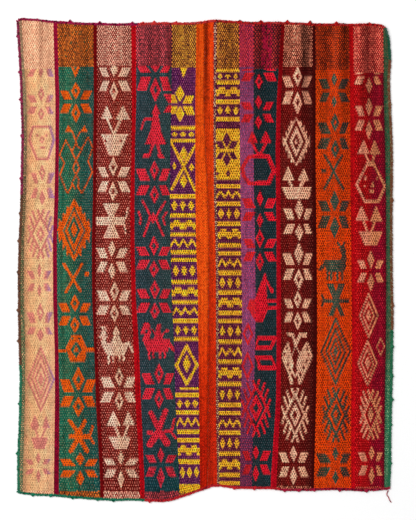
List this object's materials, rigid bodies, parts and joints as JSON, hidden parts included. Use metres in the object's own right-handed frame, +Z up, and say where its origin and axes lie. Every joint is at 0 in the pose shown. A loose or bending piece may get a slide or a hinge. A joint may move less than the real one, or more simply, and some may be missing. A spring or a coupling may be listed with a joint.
{
  "type": "woven rug of two joined panels",
  "caption": "Flat hand-woven wool rug of two joined striped panels with figured bands, a centre seam and a crocheted edging with small knobs.",
  "frame": {"origin": "on the floor under the middle of the rug", "axes": "+Z up out of the cloth's face, +Y to the top of the design, +X to the right of the design"},
  "size_m": [0.816, 1.0421, 0.0078],
  "materials": {
    "left_panel": "warp-faced wool, stripes of green, dark red, cream, teal, purple and orange",
    "right_panel": "warp-faced wool, stripes of orange, dark red, teal, purple and crimson",
    "edging_top_left": "matt wool yarn",
    "edging_top_middle": "matt wool yarn",
    "edging_top_right": "matt wool yarn",
    "edging_right_upper": "matt wool yarn",
    "edging_right_middle": "matt wool yarn",
    "edging_right_lower": "matt wool yarn",
    "edging_bottom_right": "matt wool yarn",
    "edging_bottom_middle": "matt wool yarn",
    "edging_bottom_left": "matt wool yarn",
    "edging_left_lower": "matt wool yarn",
    "edging_left_middle": "matt wool yarn",
    "edging_left_upper": "matt wool yarn",
    "yarn_tail": "matt wool yarn"
  },
  "bodies": {
    "root": {"left_panel": "left_panel", "right_panel": "right_panel", "edging_top_left": "edging_top_left", "edging_top_middle": "edging_top_middle", "edging_top_right": "edging_top_right", "edging_right_upper": "edging_right_upper", "edging_right_middle": "edging_right_middle", "edging_right_lower": "edging_right_lower", "edging_bottom_right": "edging_bottom_right", "edging_bottom_middle": "edging_bottom_middle", "edging_bottom_left": "edging_bottom_left", "edging_left_lower": "edging_left_lower", "edging_left_middle": "edging_left_middle", "edging_left_upper": "edging_left_upper", "yarn_tail": "yarn_tail"}
  },
  "joints": []
}
